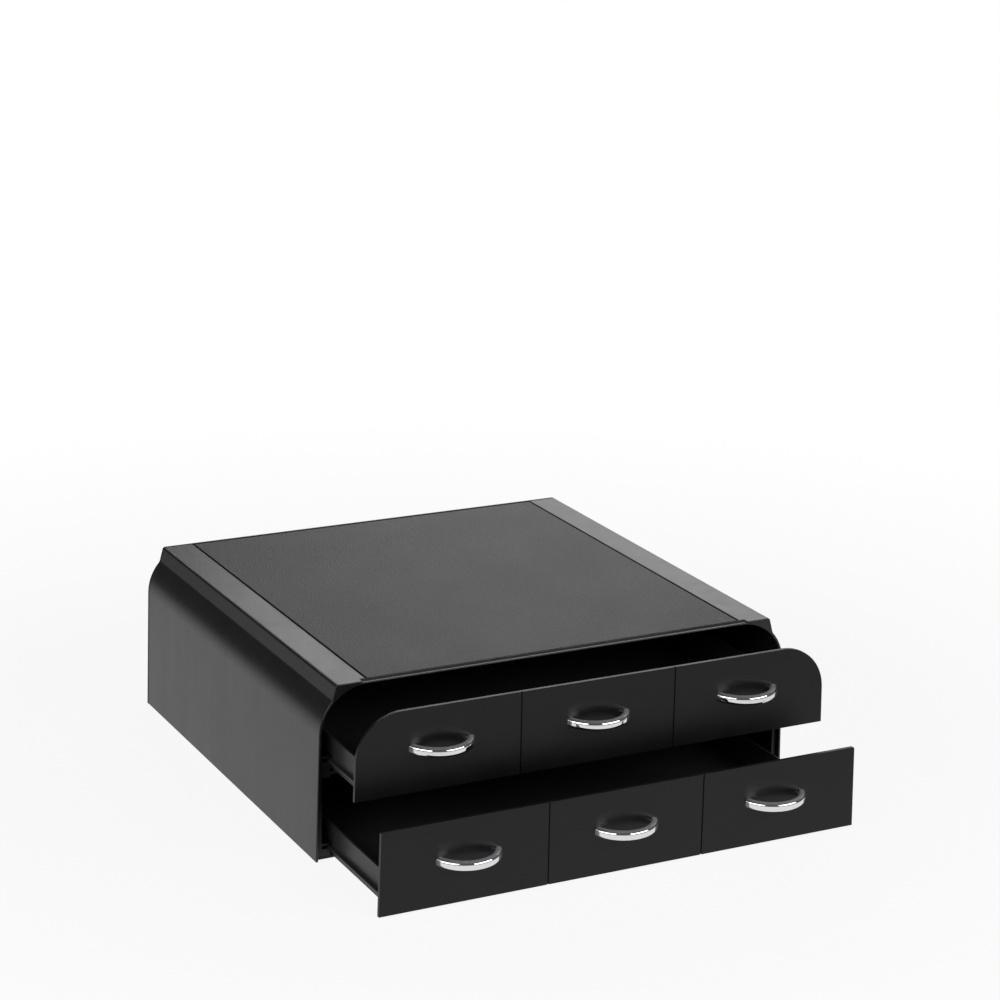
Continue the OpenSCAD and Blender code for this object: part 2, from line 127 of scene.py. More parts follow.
class Graph:
    """One material's node tree."""

    def __init__(self, name):
        self.material = bpy.data.materials.new(name)
        self.material.use_nodes = True
        self.tree = self.material.node_tree
        self.tree.nodes.clear()

    def node(self, kind, settings=None, sockets=None, output=0):
        """Adds a node, sets its settings and then its sockets, and returns one of its outputs."""
        made = self.tree.nodes.new(kind)
        for name, setting in (settings or {}).items():
            setattr(made, name, setting)
        for key, given in (sockets or {}).items():
            if isinstance(given, Value):
                self.tree.links.new(given.socket, made.inputs[key])
            else:
                made.inputs[key].default_value = given
        return Value(self, made.outputs[output])

    def place(self, stretch=(1, 1, 1)):
        """A point of the surface in metres, with its axes stretched."""
        point = self.node("ShaderNodeTexCoord", output="Object")
        return self.node("ShaderNodeMapping", sockets={"Vector": point, "Scale": stretch})

    def noise(self, size, detail=2.0, stretch=(1, 1, 1)):
        """Soft noise from about 0 to 1 whose blobs are size metres across."""
        sockets = {"Vector": self.place(stretch), "Scale": 1 / size, "Detail": detail}
        return self.node("ShaderNodeTexNoise", sockets=sockets)

    def pebbles(self, size):
        """Distance to the middle of the nearest cell, for cells that are size metres across."""
        sockets = {"Vector": self.place(), "Scale": 1 / size}
        return self.node("ShaderNodeTexVoronoi", {"feature": "F1"}, sockets)

    def blend(self, factor, first, second):
        """A colour between first and second."""
        settings = {"data_type": "RGBA"}
        return self.node("ShaderNodeMix", settings, {0: factor, 6: first, 7: second}, output=2)

    def upward(self):
        """1 where the surface faces up and 0 where it stands upright."""
        normal = self.node("ShaderNodeNewGeometry", output="Normal")
        height = self.node("ShaderNodeSeparateXYZ", sockets={0: normal}, output="Z")
        return height.above(0.6, 0.95)

    def bump(self, height, depth):
        """Normals of a surface whose height goes from 0 to depth metres."""
        sockets = {"Height": height, "Distance": depth, "Strength": 1.0}
        return self.node("ShaderNodeBump", sockets=sockets)

    def finish(self, **sockets):
        """Ends the tree in a Principled surface and returns the material."""
        named = {name.replace("_", " "): given for name, given in sockets.items()}
        return self.end(self.node("ShaderNodeBsdfPrincipled", sockets=named, output="BSDF"))

    def end(self, surface):
        """Ends the tree in any surface and returns the material."""
        out = self.tree.nodes.new("ShaderNodeOutputMaterial")
        self.tree.links.new(surface.socket, out.inputs["Surface"])
        return self.material


def shade(colour, factor):
    """A colour made lighter or darker, with full alpha."""
    return tuple(min(1.0, part * factor) for part in colour[:3]) + (1.0,)


def moulded_plastic(name, colour, roughness, gloss=0.5, grain=0.0007, depth=0.00003):
    """Moulded plastic: spark-eroded grain, faint upright flow marks and cloudy rubbed patches."""
    graph = Graph(name)
    fine = graph.noise(size=grain, detail=3.0)
    flow = graph.noise(size=0.012, detail=3.0, stretch=(1, 1, 0.12))
    clouds = graph.noise(size=0.06, detail=4.0)
    tone = (flow * 0.45 + clouds * 0.35 + fine * 0.2).above(0.35, 0.65)
    return graph.finish(
        Base_Color=graph.blend(tone, shade(colour, 0.86), shade(colour, 1.16)),
        Roughness=roughness - 0.05 + tone * 0.07 + fine * 0.05,
        Normal=graph.bump(fine * 0.8 + flow * 0.2, depth),
        Specular_IOR_Level=gloss,
    )


def grained_plastic(name, colour):
    """The deck panel's fine pebble grain, a little shinier on the crowns than in the valleys."""
    graph = Graph(name)
    fine = graph.noise(size=0.0005)
    clouds = graph.noise(size=0.05, detail=4.0)
    crowns = 1 - graph.pebbles(size=0.0011).above(0.15, 0.7)
    height = crowns * 0.8 + fine * 0.2
    return graph.finish(
        Base_Color=graph.blend(clouds.above(0.3, 0.7), shade(colour, 0.85), shade(colour, 1.2)),
        Roughness=0.48 - crowns * 0.1 + clouds * 0.08,
        Normal=graph.bump(height, 0.00016),
        Specular_IOR_Level=0.6,
    )


def polished_chrome(name, colour):
    """Chrome plating with polishing haze, a few finger marks and a painted grey sheen on its top,
    made by turning the plating partly non-metallic where it faces up.
    """
    graph = Graph(name)
    haze = graph.noise(size=0.004, detail=3.0)
    marks = graph.noise(size=0.011).above(0.55, 0.7)
    waves = graph.noise(size=0.009, detail=1.0)
    return graph.finish(
        Base_Color=graph.blend(haze, shade(colour, 0.94), shade(colour, 1.03)),
        # Painted sheen: faces that look up are made partly non-metallic, so the tops of the handles
        # render lighter grey.
        Metallic=1 - graph.upward() * (0.1 + haze * 0.1),
        Roughness=0.03 + haze * 0.03 + marks * 0.04,
        Normal=graph.bump(waves, 0.00001),
    )


def turned_steel(name, colour):
    """Zinc-plated steel of the fasteners with fine scratches and dull patches."""
    graph = Graph(name)
    scratches = graph.noise(size=0.0004, stretch=(1, 0.2, 1))
    patches = graph.noise(size=0.002, detail=3.0)
    return graph.finish(
        Base_Color=graph.blend(patches, shade(colour, 0.8), shade(colour, 1.1)),
        Metallic=1.0,
        Roughness=0.28 + scratches * 0.15 + patches * 0.1,
        Normal=graph.bump(scratches, 0.00002),
    )


def soft_rubber(name, colour):
    """Matte black rubber with a dusty bloom."""
    graph = Graph(name)
    bloom = graph.noise(size=0.003, detail=4.0)
    fine = graph.noise(size=0.0004)
    return graph.finish(
        Base_Color=graph.blend(bloom, shade(colour, 0.8), shade(colour, 1.6)),
        Roughness=0.78 + fine * 0.12,
        Normal=graph.bump(fine, 0.00004),
        Specular_IOR_Level=0.3,
    )


# ---------- mesh helpers ----------


def new_piece(name, mesh, body, material, replaced):
    """Links a finished mesh as a piece that rides on a body and stands for CAD nodes."""
    piece = bpy.data.objects.new(name, mesh)
    bpy.context.scene.collection.objects.link(piece)
    mesh.materials.clear()
    mesh.materials.append(material)
    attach(piece, body)
    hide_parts(*replaced)
    return piece


def merged_copy(node):
    """A CAD node's surface as one closed mesh."""
    bm = bmesh.new()
    bm.from_mesh(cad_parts[node].data)
    bmesh.ops.remove_doubles(bm, verts=bm.verts, dist=MERGE_DISTANCE)
    return bm


def rounded_mesh(node, radius, segments=3):
    """A CAD node's surface with its sharp edges rounded to a small radius."""
    bm = merged_copy(node)
    bmesh.ops.dissolve_limit(
        bm, angle_limit=FLAT_ANGLE, use_dissolve_boundaries=False, verts=bm.verts, edges=bm.edges
    )
    shared = [edge for edge in bm.edges if len(edge.link_faces) == 2]
    sharp = [edge for edge in shared if edge.calc_face_angle() > EDGE_ANGLE]
    bmesh.ops.bevel(
        bm, geom=sharp, offset=radius, segments=segments, profile=0.5, affect="EDGES",
        clamp_overlap=False,
    )
    # Where two roundings meet, the strip between them has no width left.
    bmesh.ops.dissolve_degenerate(bm, edges=bm.edges, dist=MERGE_DISTANCE)
    mesh = bpy.data.meshes.new(node + "_rounded")
    bm.to_mesh(mesh)
    bm.free()
    return smoothed(mesh)


def smoothed(mesh):
    """Smooth shading that keeps large faces flat, with every face turned outwards."""
    bm = bmesh.new()
    bm.from_mesh(mesh)
    bmesh.ops.recalc_face_normals(bm, faces=bm.faces)
    bm.to_mesh(mesh)
    bm.free()
    mesh.polygons.foreach_set("use_smooth", [True] * len(mesh.polygons))
    mesh.set_sharp_from_angle(angle=CREASE_ANGLE)
    holder = bpy.data.objects.new("shading", mesh)
    bpy.context.scene.collection.objects.link(holder)
    weighted = holder.modifiers.new("weighted", "WEIGHTED_NORMAL")
    weighted.keep_sharp = True
    made = evaluated_mesh(holder)
    bpy.data.objects.remove(holder)
    return made


def evaluated_mesh(obj):
    """The mesh of an object with its modifiers worked out."""
    seen = obj.evaluated_get(bpy.context.evaluated_depsgraph_get())
    return bpy.data.meshes.new_from_object(seen)


def islands(node):
    """Lowest and highest corner of each loose solid of a CAD node, in the order of its points."""
    bm = merged_copy(node)
    left = set(bm.verts)
    found = []
    for first in bm.verts:
        if first not in left:
            continue
        left.remove(first)
        stack = [first]
        points = []
        while stack:
            vert = stack.pop()
            points.append(vert.co.copy())
            for edge in vert.link_edges:
                other = edge.other_vert(vert)
                if other in left:
                    left.remove(other)
                    stack.append(other)
        low = Vector(min(p[i] for p in points) for i in range(3))
        high = Vector(max(p[i] for p in points) for i in range(3))
        found.append((low, high))
    bm.free()
    return found


# ---------- geometry node trees ----------


class NodeTree:
    """A Geometry Nodes tree with named inputs."""

    def __init__(self, name):
        self.tree = bpy.data.node_groups.new(name, "GeometryNodeTree")
        for way in ("INPUT", "OUTPUT"):
            self.tree.interface.new_socket(
                "Geometry", in_out=way, socket_type="NodeSocketGeometry"
            )
        self.given = self.tree.nodes.new("NodeGroupInput")
        self.names = {}

    def size(self, name, default, kind="NodeSocketFloat"):
        """Adds a named input and returns its socket."""
        item = self.tree.interface.new_socket(name, in_out="INPUT", socket_type=kind)
        if default is not None:
            item.default_value = default
        self.names[name] = item.identifier
        return self.given.outputs[name]

    def add(self, kind, settings=None, sockets=None):
        """Adds a node, sets its settings and links or sets its sockets."""
        made = self.tree.nodes.new(kind)
        for name, setting in (settings or {}).items():
            setattr(made, name, setting)
        for key, given in (sockets or {}).items():
            if isinstance(given, bpy.types.NodeSocket):
                self.tree.links.new(given, made.inputs[key])
            else:
                made.inputs[key].default_value = given
        return made

    def math(self, operation, first, second):
        settings = {"operation": operation}
        return self.add("ShaderNodeMath", settings, {0: first, 1: second}).outputs[0]

    def times(self, first, second):
        return self.math("MULTIPLY", first, second)

    def plus(self, first, second):
        return self.math("ADD", first, second)

    def vector(self, **parts):
        """A vector from its X, Y and Z parts."""
        return self.add("ShaderNodeCombineXYZ", sockets=parts).outputs[0]

    def join(self, *geometries):
        """Several geometries as one."""
        made = self.add("GeometryNodeJoinGeometry")
        for geometry in geometries:
            self.tree.links.new(geometry, made.inputs[0])
        return made.outputs[0]

    def cut(self, solid, *cutters):
        """A solid without the space of its cutters."""
        made = self.add("GeometryNodeMeshBoolean", {"operation": "DIFFERENCE", "solver": "EXACT"})
        self.tree.links.new(solid, made.inputs["Mesh 1"])
        for cutter in cutters:
            self.tree.links.new(cutter, made.inputs["Mesh 2"])
        return made.outputs[0]

    def moved(self, geometry, offset):
        """Geometry moved by a vector."""
        sockets = {"Geometry": geometry, "Translation": offset}
        return self.add("GeometryNodeTransform", sockets=sockets).outputs[0]

    def disc(self, sides, radius):
        """A flat round face that looks up."""
        sockets = {"Vertices": sides, "Radius": radius}
        return self.add("GeometryNodeMeshCircle", {"fill_type": "NGON"}, sockets).outputs[0]

    def block(self, size):
        """A box around the middle."""
        return self.add("GeometryNodeMeshCube", sockets={"Size": size}).outputs["Mesh"]

    def end(self, geometry, material):
        """Realizes the instances, sets their material and closes the tree."""
        real = self.add("GeometryNodeRealizeInstances", sockets={0: geometry})
        sockets = {"Geometry": real.outputs[0], "Material": material}
        painted = self.add("GeometryNodeSetMaterial", sockets=sockets)
        out = self.tree.nodes.new("NodeGroupOutput")
        self.tree.links.new(painted.outputs[0], out.inputs[0])

    def run(self, mesh, sizes):
        """Runs the tree on a mesh and returns the result as a plain mesh."""
        holder = bpy.data.objects.new("holder", mesh)
        bpy.context.scene.collection.objects.link(holder)
        modifier = holder.modifiers.new("tree", "NODES")
        modifier.node_group = self.tree
        for name, value in sizes.items():
            modifier[self.names[name]] = value
        made = evaluated_mesh(holder)
        bpy.data.objects.remove(holder)
        return made


def points_mesh(points, directions):
    """A mesh of loose points, each with the direction that its instance faces."""
    mesh = bpy.data.meshes.new("points")
    mesh.from_pydata([tuple(p) for p in points], [], [])
    facing = mesh.attributes.new("facing", "FLOAT_VECTOR", "POINT")
    facing.data.foreach_set("vector", [part for d in directions for part in d])
    return mesh


def turned_instances(tree, solid):
    """Puts a solid that stands along +Z on every point, turned to the point's facing."""
    facing = tree.add(
        "GeometryNodeInputNamedAttribute", {"data_type": "FLOAT_VECTOR"}, {"Name": "facing"}
    )
    turned = tree.add(
        "FunctionNodeAlignRotationToVector", {"axis": "Z"}, {"Vector": facing.outputs[0]}
    )
    points = tree.given.outputs["Geometry"]
    sockets = {"Points": points, "Instance": solid, "Rotation": turned.outputs[0]}
    return tree.add("GeometryNodeInstanceOnPoints", sockets=sockets).outputs[0]


def ring_stack(tree, rings, sides):
    """A closed turned solid of cone rings.

    Each ring is its bottom radius, top radius, the height it starts at and its own height.
    """
    walls = []
    for bottom, top, start, height in rings:
        sockets = {"Vertices": sides, "Radius Bottom": bottom, "Radius Top": top, "Depth": height}
        cone = tree.add("GeometryNodeMeshCone", {"fill_type": "NONE"}, sockets)
        walls.append(tree.moved(cone.outputs["Mesh"], tree.vector(Z=start)))
    under = tree.add("GeometryNodeFlipFaces", sockets={"Mesh": tree.disc(sides, rings[0][0])})
    _, top, start, height = rings[-1]
    cover = tree.moved(tree.disc(sides, top), tree.vector(Z=tree.plus(start, height)))
    sockets = {0: tree.join(*walls, under.outputs[0], cover), "Distance": MERGE_DISTANCE}
    return tree.add("GeometryNodeMergeByDistance", sockets=sockets).outputs[0]


def screw_tree():
    """Pan-head screws with a cross recess, heads facing each point's direction."""
    tree = NodeTree("pan_head_screws")
    head_r = tree.size("Head Radius", 2.3 * MM)
    seat_r = tree.size("Seat Radius", 2.3 * MM)
    head_h = tree.size("Head Height", SCREW_HEAD_HEIGHT)
    shank_r = tree.size("Shank Radius", SCREW_SHANK_RADIUS)
    shank_l = tree.size("Shank Length", 4 * MM)
    material = tree.size("Material", None, "NodeSocketMaterial")
    domed = tree.times(head_h, tree.size("Dome", PAN_DOME))
    rim_h = tree.plus(head_h, tree.times(domed, -1.0))
    shoulder_r = tree.times(head_r, 0.86)
    shoulder_h = tree.times(domed, 0.65)
    crown_r = tree.times(head_r, 0.6)
    crown_h = tree.times(domed, 0.35)
    head = ring_stack(tree, [
        (seat_r, head_r, 0.0, rim_h),
        (head_r, shoulder_r, rim_h, shoulder_h),
        (shoulder_r, crown_r, tree.plus(rim_h, shoulder_h), crown_h),
    ], 32)
    long_side = tree.times(head_r, 1.15)
    short_side = tree.times(head_r, 0.26)
    above_rim = tree.vector(Z=tree.times(head_h, 1.1))
    blades = [
        tree.moved(tree.block(tree.vector(X=x, Y=y, Z=head_h)), above_rim)
        for x, y in ((long_side, short_side), (short_side, long_side))
    ]
    shank = tree.add(
        "GeometryNodeMeshCylinder", sockets={"Vertices": 24, "Radius": shank_r, "Depth": shank_l}
    )
    lowered = tree.moved(shank.outputs["Mesh"], tree.vector(Z=tree.times(shank_l, -0.5)))
    screw = tree.join(tree.cut(head, *blades), lowered)
    tree.end(turned_instances(tree, screw), material)
    return tree


def foot_tree():
    """Round rubber pads with a rounded rim and a raised gripping ring."""
    tree = NodeTree("rubber_feet")
    radius = tree.size("Radius", 8 * MM)
    height = tree.size("Height", 1.4 * MM)
    material = tree.size("Material", None, "NodeSocketMaterial")
    # Shares of the radius at the bottom and top of each ring, and of the height where it
    # starts and that it takes.
    profile = (
        (1.0, 1.0, 0.0, 0.7),
        (1.0, 0.97, 0.7, 0.2),
        (0.97, 0.91, 0.9, 0.1),
        (0.91, 0.62, 1.0, 0.0),
        (0.58, 0.62, 0.82, 0.18),
        (0.58, 0.3, 0.82, 0.0),
    )
    rings = [
        [tree.times(size, share) for size, share in zip((radius, radius, height, height), ring)]
        for ring in profile
    ]
    tree.end(turned_instances(tree, ring_stack(tree, rings, 48)), material)
    return tree


def bow_tree():
    """Bow handles: an arc of a rounded bar, cut off where it stands on the front."""
    tree = NodeTree("bow_handle")
    radius = tree.size("Arc Radius", 22 * MM)
    height = tree.size("Bar Height", 6 * MM)
    thick = tree.size("Bar Thickness", 5.6 * MM)
    edge = tree.size("Edge Radius", 2.3 * MM)
    back = tree.size("Set Back", 8.7 * MM)
    material = tree.size("Material", None, "NodeSocketMaterial")
    arc = tree.add("GeometryNodeCurveArc", {"mode": "RADIUS"}, {
        "Resolution": 121, "Radius": radius,
        "Start Angle": math.radians(182), "Sweep Angle": math.radians(176),
    })
    level = tree.add(
        "GeometryNodeSetCurveNormal", {"mode": "Z_UP"}, {"Curve": arc.outputs["Curve"]}
    )
    section = tree.add(
        "GeometryNodeCurvePrimitiveQuadrilateral", {"mode": "RECTANGLE"},
        {"Width": thick, "Height": height},
    )
    round_section = tree.add(
        "GeometryNodeFilletCurve", {"mode": "POLY"},
        {"Curve": section.outputs[0], "Count": 9, "Radius": edge},
    )
    bar = tree.add("GeometryNodeCurveToMesh", sockets={
        "Curve": level.outputs[0], "Profile Curve": round_section.outputs[0], "Fill Caps": True,
    })
    wide = tree.times(radius, 4.0)
    to_front = tree.vector(Y=tree.plus(tree.times(radius, 2.0), tree.times(back, -1.0)))
    behind = tree.moved(tree.block(tree.vector(X=wide, Y=wide, Z=wide)), to_front)
    tree.end(turned_instances(tree, tree.cut(bar.outputs[0], behind)), material)
    return tree


# ---------- properties ----------


def colour_property(name, description, default):
    return bpy.props.FloatVectorProperty(
        name=name, description=description, default=default, subtype="COLOR", min=0, max=1, size=3
    )


def length_property(name, description, default):
    return bpy.props.FloatProperty(
        name=name, description=description, default=default, min=0,
        subtype="DISTANCE", unit="LENGTH",
    )


def power_property(name, description, default):
    return bpy.props.FloatProperty(
        name=name, description=description, default=default, min=0, unit="POWER"
    )


class CabinetLooks(bpy.types.PropertyGroup):
    """Colours and edge radii of the cabinet and its drawers."""

    shell: colour_property("Shell", "Colour of the moulded shell", (0.0105, 0.0102, 0.0104))
    deck: colour_property("Deck panel", "Colour of the deck's panel", (0.011, 0.011, 0.0113))
    inner: colour_property(
        "Inner panels", "Colour of the shelf, base, back and runners", (0.008, 0.008, 0.0085)
    )
    front: colour_property("Fronts", "Colour of the drawer fronts", (0.0042, 0.0038, 0.0041))
    tray: colour_property("Trays", "Colour of the trays", (0.022, 0.0215, 0.0225))
    chrome: colour_property("Chrome", "Tint of the plated handles", (0.93, 0.93, 0.94))
    steel: colour_property("Steel", "Tint of the fasteners", (0.46, 0.46, 0.47))
    rubber: colour_property("Rubber", "Colour of the feet", (0.012, 0.012, 0.012))
    bar_thickness: length_property(
        "Handle thickness", "Thickness of a handle's bar in plan", 5.6 * MM
    )
    bar_edge: length_property("Handle rounding", "Radius along a handle bar's edges", 2.3 * MM)
    shell_edge: length_property("Shell edge", "Radius of the shell's small edges", 0.55 * MM)
    panel_edge: length_property("Panel edge", "Radius of the deck panel's edges", 0.5 * MM)
    front_edge: length_property("Front edge", "Radius of the drawer fronts' edges", 0.15 * MM)
    tray_edge: length_property("Tray edge", "Radius of the trays' edges", 0.3 * MM)
    inner_edge: length_property("Inner edge", "Radius of the edges of panels and runners", 0.2 * MM)


class StudioLooks(bpy.types.PropertyGroup):
    """Camera and light of the studio."""

    camera_place: bpy.props.FloatVectorProperty(
        name="Camera place", description="Where the camera stands",
        default=(-0.8157, -1.6607, 0.7294), subtype="TRANSLATION", unit="LENGTH", size=3,
    )
    camera_turn: bpy.props.FloatVectorProperty(
        name="Camera turn", description="The camera's turn to the right, tilt down and roll",
        default=(math.radians(27.078), math.radians(16.548), math.radians(1.056)),
        subtype="EULER", size=3,
    )
    lens: bpy.props.FloatProperty(
        name="Lens", description="Focal length on a 36 mm sensor", default=99.5, min=10,
        unit="CAMERA",
    )
    floor: colour_property("Floor", "Colour of the studio floor", (0.86, 0.86, 0.86))
    left: power_property("Left", "Power of the soft light left in front", 23)
    right: power_property("Right", "Power of the soft light right in front", 23)
    back: power_property("Back", "Power of the soft light behind", 6.9)
    rim: power_property("Rim", "Power of the narrow light high behind", 5)
    glow: bpy.props.FloatProperty(
        name="Glow", description="Light that comes evenly from all round", default=0.08, min=0
    )


# ---------- pieces ----------


class PieceOperator(bpy.types.Operator):
    """Shared parts of the operators that make pieces."""

    bl_options = {"REGISTER", "UNDO"}

    def looks(self, context):
        return context.scene.cabinet_looks

    def need(self, *nodes):
        missing = [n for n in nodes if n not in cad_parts]
        if missing:
            raise RuntimeError(f"the packed model has no node named {missing}")

    def dress(self, node, body, radius, material, slot):
        """Replaces a CAD node by its copy with rounded edges."""
        self.need(node)
        return new_piece(node + "_piece", rounded_mesh(node, radius), body, material, [node])


class CABINET_OT_shell(PieceOperator):
    """Makes the moulded shell and the grained panel in its deck"""

    bl_idname = "cabinet.shell"
    bl_label = "Shell and Deck Panel"

    def execute(self, context):
        looks = self.looks(context)
        shell = moulded_plastic("shell_plastic", looks.shell, 0.3, 0.5)
        self.dress("housing_shell", "cabinet", looks.shell_edge, shell, "shell")
        deck = grained_plastic("deck_plastic", looks.deck)
        self.dress("top_panel", "cabinet", looks.panel_edge, deck, "top_panel")
        return {"FINISHED"}


class CABINET_OT_inner(PieceOperator):
    """Makes the back, base, shelf and runners"""

    bl_idname = "cabinet.inner"
    bl_label = "Inner Panels and Runners"

    def execute(self, context):
        looks = self.looks(context)
        panel = moulded_plastic("panel_plastic", looks.inner, 0.55, 0.4)
        for node in ("back_panel", "base_panel", "mid_shelf"):
            self.dress(node, "cabinet", looks.inner_edge, panel, node)
        slick = moulded_plastic("runner_plastic", looks.inner, 0.4, 0.4, 0.0015)
        for node in (f"{tier}_{side}_runner" for tier in DRAWERS for side in ("left", "right")):
            self.dress(node, "cabinet", looks.inner_edge, slick, "runners")
        return {"FINISHED"}


class CABINET_OT_drawers(PieceOperator):
    """Makes the trays and the fronts of both drawers"""

    bl_idname = "cabinet.drawers"
    bl_label = "Trays and Fronts"

    def execute(self, context):
        looks = self.looks(context)
        tray = moulded_plastic("tray_plastic", looks.tray, 0.42, 0.5)
        front = moulded_plastic("front_plastic", looks.front, 0.36, 0.35, 0.0005, 0.00001)
        for tier in DRAWERS:
            body = tier + "_drawer"
            self.dress(tier + "_tray", body, looks.tray_edge, tray, "trays")
            self.dress(tier + "_front", body, looks.front_edge, front, "fronts")
        return {"FINISHED"}


class CABINET_OT_handles(PieceOperator):
    """Makes the chrome-plated bow handles"""

    bl_idname = "cabinet.handles"
    bl_label = "Handles"

    def execute(self, context):
        looks = self.looks(context)
        chrome = polished_chrome("chrome_plating", looks.chrome)
        tree = bow_tree()
        for tier in DRAWERS:
            body = tier + "_drawer"
            for node in (f"{tier}_{place}_handle" for place in PLACES):
                mesh = self.bow(tree, node, looks, chrome)
                new_piece(node + "_piece", smoothed(mesh), body, chrome, [node])
        return {"FINISHED"}

    def bow(self, tree, node, looks, chrome):
        """One handle's mesh, on the arc through its node's front and both its ends."""
        self.need(node)
        low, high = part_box(node)
        reach = high.y - low.y
        outer = ((high.x - low.x) ** 2 / 4 + reach ** 2) / (2 * reach)
        middle = Vector(((low.x + high.x) / 2, low.y + outer, (low.z + high.z) / 2))
        sizes = {
            "Arc Radius": outer - looks.bar_thickness / 2,
            "Bar Height": high.z - low.z,
            "Bar Thickness": looks.bar_thickness,
            "Edge Radius": looks.bar_edge,
            "Set Back": outer - reach,
            "Material": chrome,
        }
        return tree.run(points_mesh([middle], [(0, 0, 1)]), sizes)


class CABINET_OT_feet(PieceOperator):
    """Makes the rubber feet"""

    bl_idname = "cabinet.feet"
    bl_label = "Feet"

    def execute(self, context):
        nodes = [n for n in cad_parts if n.startswith("foot_")]
        if not nodes:
            raise RuntimeError("the packed model has no feet")
        rubber = soft_rubber("foot_rubber", self.looks(context).rubber)
        tops = []
        for node in nodes:
            low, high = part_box(node)
            tops.append(Vector(((low.x + high.x) / 2, (low.y + high.y) / 2, high.z)))
        # All feet are alike, so the last one's box gives the size of each.
        sizes = {"Radius": (high.x - low.x) / 2, "Height": high.z - low.z, "Material": rubber}
        mesh = foot_tree().run(points_mesh(tops, [(0, 0, -1)] * len(tops)), sizes)
        new_piece("rubber_feet", smoothed(mesh), "cabinet", rubber, nodes)
        return {"FINISHED"}


class CABINET_OT_screws(PieceOperator):
    """Makes the screws of the cabinet and of both drawers"""

    bl_idname = "cabinet.screws"
    bl_label = "Screws"

    def screws(self, tree, node, body, head, steel, flush=False):
        """Replaces one CAD node's screws, whose heads face the direction head."""
        self.need(node)
        towards = Vector(head)
        points = []
        for low, high in islands(node):
            middle = (low + high) / 2
            reach = sum(abs(towards[i]) * (high[i] - low[i]) for i in range(3))
            radius = max(high[i] - low[i] for i in range(3) if not towards[i]) / 2
            points.append(middle + towards * (reach / 2 - SCREW_HEAD_HEIGHT))
        # A node's screws are alike, so the last one gives the size of each.
        sizes = {
            "Head Radius": radius,
            "Seat Radius": FLUSH_SEAT_RADIUS if flush else radius,
            "Head Height": SCREW_HEAD_HEIGHT,
            "Dome": FLUSH_DOME if flush else PAN_DOME,
            "Shank Radius": SCREW_SHANK_RADIUS,
            "Shank Length": reach - SCREW_HEAD_HEIGHT,
            "Material": steel,
        }
        mesh = tree.run(points_mesh(points, [head] * len(points)), sizes)
        new_piece(node + "_piece", smoothed(mesh), body, steel, [node])

    def execute(self, context):
        steel = turned_steel("fastener_steel", self.looks(context).steel)
        tree = screw_tree()
        self.screws(tree, "base_screws", "cabinet", (0, 0, -1), steel, flush=True)
        self.screws(tree, "shelf_screws", "cabinet", (0, 0, -1), steel)
        self.screws(tree, "back_screws", "cabinet", (0, 1, 0), steel)
        for tier in DRAWERS:
            body = tier + "_drawer"
            self.screws(tree, tier + "_handle_screws", body, (0, 1, 0), steel)
            self.screws(tree, tier + "_front_screws", body, (0, 1, 0), steel)
        return {"FINISHED"}


# ---------- stage ----------


def floor_material(colour):
    """Pale floor that the camera sees as white, with a soft shadow near the object.

    In gloss it glows as a painted pool of light around the object that fades with distance.
    """
    graph = Graph("studio_floor")
    camera = graph.node("ShaderNodeLightPath", output="Is Camera Ray")
    glossy = graph.node("ShaderNodeLightPath", output="Is Glossy Ray")
    point = graph.node("ShaderNodeTexCoord", output="Object")
    away = graph.node("ShaderNodeVectorMath", {"operation": "LENGTH"}, {0: point}, output="Value")
    lit = graph.node("ShaderNodeBsdfDiffuse", sockets={"Color": shade(colour, 1)})
    dark = graph.node("ShaderNodeBsdfDiffuse", sockets={"Color": BLACK})
    white = graph.node("ShaderNodeEmission", sockets={"Color": WHITE, "Strength": 1.0})
    # Painted pool of light: in gloss the floor glows brightest near the object and fades with
    # distance, and is black where it does not glow.
    painted_light_pool = 0.75 - away.above(0.4, 0.7) * 0.2 - away.above(0.7, 1.8) * 0.5
    glow_share = painted_light_pool + camera * (1 - painted_light_pool)
    seen = graph.node("ShaderNodeMixShader", sockets={0: glow_share, 1: dark, 2: white})
    glow = camera * (0.9 + away.above(0.35, 0.9) * 0.1) + glossy
    return graph.end(graph.node("ShaderNodeMixShader", sockets={0: glow, 1: lit, 2: seen}))


def soft_light(name, place, size, power, tint):
    """A soft box, width by height, that faces the object."""
    lamp = bpy.data.lights.new(name, "AREA")
    lamp.shape = "RECTANGLE"
    lamp.size, lamp.size_y = size
    lamp.energy = power
    lamp.color = tint
    holder = bpy.data.objects.new(name, lamp)
    holder.location = place
    holder.rotation_mode = "QUATERNION"
    holder.rotation_quaternion = (Vector(LIT_POINT) - Vector(place)).to_track_quat("-Z", "Y")
    bpy.context.scene.collection.objects.link(holder)


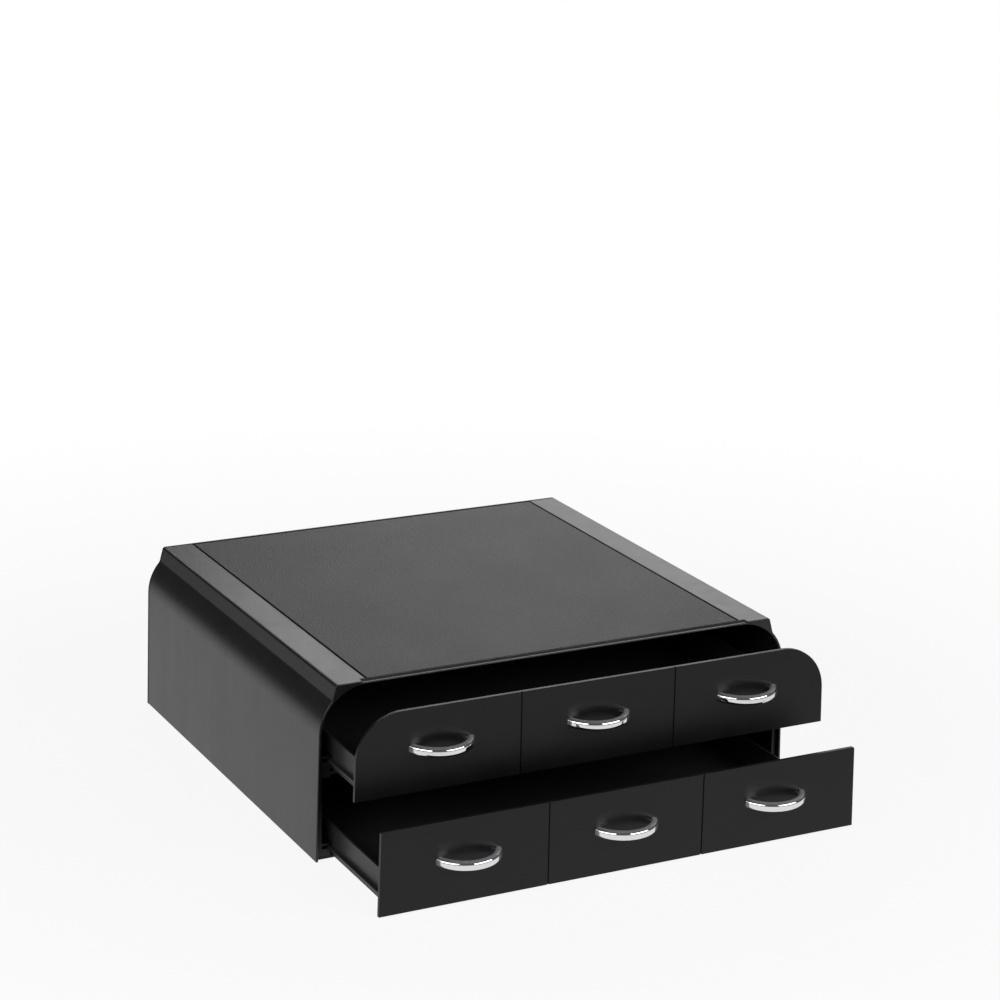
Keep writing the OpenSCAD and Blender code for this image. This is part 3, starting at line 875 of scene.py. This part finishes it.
class CABINET_OT_stage(bpy.types.Operator):
    """Makes the floor, the lights and the camera"""

    bl_idname = "cabinet.stage"
    bl_label = "Studio"
    bl_options = {"REGISTER", "UNDO"}

    def camera(self, context, studio):
        """Sets the camera from its place and its turn, tilt and roll."""
        turn, tilt, roll = studio.camera_turn
        flat = math.cos(tilt)
        ahead = Vector((math.sin(turn) * flat, math.cos(turn) * flat, -math.sin(tilt)))
        level = Vector((math.cos(turn), -math.sin(turn), 0))
        upright = level.cross(ahead)
        right = math.cos(roll) * level + math.sin(roll) * upright
        up = -math.sin(roll) * level + math.cos(roll) * upright
        lens = bpy.data.cameras.new("camera")
        lens.sensor_width = 36
        lens.lens = studio.lens
        lens.clip_start = 0.01
        lens.clip_end = 100
        eye = bpy.data.objects.new("camera", lens)
        context.scene.collection.objects.link(eye)
        axes = Matrix((right, up, -ahead)).transposed().to_4x4()
        eye.matrix_world = Matrix.Translation(Vector(studio.camera_place)) @ axes
        context.scene.camera = eye

    def world(self, context, glow):
        """White to the camera, and a faint even glow to everything else."""
        world = bpy.data.worlds.new("studio")
        world.use_nodes = True
        tree = world.node_tree
        tree.nodes.clear()
        path = tree.nodes.new("ShaderNodeLightPath")
        strength = tree.nodes.new("ShaderNodeMapRange")
        strength.inputs["To Min"].default_value = glow
        sky = tree.nodes.new("ShaderNodeBackground")
        sky.inputs["Color"].default_value = WHITE
        out = tree.nodes.new("ShaderNodeOutputWorld")
        tree.links.new(path.outputs["Is Camera Ray"], strength.inputs["Value"])
        tree.links.new(strength.outputs[0], sky.inputs["Strength"])
        tree.links.new(sky.outputs[0], out.inputs["Surface"])
        context.scene.world = world

    def execute(self, context):
        studio = context.scene.studio_looks
        mesh = bpy.data.meshes.new("floor")
        around = ((-1, -1), (1, -1), (1, 1), (-1, 1))
        corners = [(FLOOR_REACH * x, FLOOR_REACH * y, 0) for x, y in around]
        mesh.from_pydata(corners, [], [(0, 1, 2, 3)])
        floor = bpy.data.objects.new("floor", mesh)
        context.scene.collection.objects.link(floor)
        mesh.materials.append(floor_material(studio.floor))
        for name, place, size, tint in LIGHTS:
            soft_light(name + "_light", place, size, getattr(studio, name), tint)
        self.camera(context, studio)
        self.world(context, studio.glow)
        context.scene.view_settings.view_transform = "Standard"
        return {"FINISHED"}


class CABINET_PT_panel(bpy.types.Panel):
    """Lists the cabinet's colours, sizes and operators"""

    bl_idname = "CABINET_PT_panel"
    bl_label = "Two-Drawer Cabinet"
    bl_space_type = "VIEW_3D"
    bl_region_type = "UI"
    bl_category = "Cabinet"

    def draw(self, context):
        for group in (context.scene.cabinet_looks, context.scene.studio_looks):
            for name in group.__annotations__:
                self.layout.prop(group, name)
        for operator in OPERATORS:
            self.layout.operator(operator.bl_idname)


OPERATORS = (
    CABINET_OT_shell,
    CABINET_OT_inner,
    CABINET_OT_drawers,
    CABINET_OT_handles,
    CABINET_OT_feet,
    CABINET_OT_screws,
    CABINET_OT_stage,
)
CLASSES = (CabinetLooks, StudioLooks, *OPERATORS, CABINET_PT_panel)


def register():
    for cls in CLASSES:
        bpy.utils.register_class(cls)
    bpy.types.Scene.cabinet_looks = bpy.props.PointerProperty(type=CabinetLooks)
    bpy.types.Scene.studio_looks = bpy.props.PointerProperty(type=StudioLooks)


def unregister():
    del bpy.types.Scene.studio_looks
    del bpy.types.Scene.cabinet_looks
    for cls in reversed(CLASSES):
        bpy.utils.unregister_class(cls)


def main():
    register()
    for name in ("shell", "inner", "drawers", "handles", "feet", "screws", "stage"):
        getattr(bpy.ops.cabinet, name)()


if __name__ == "__main__":
    main()
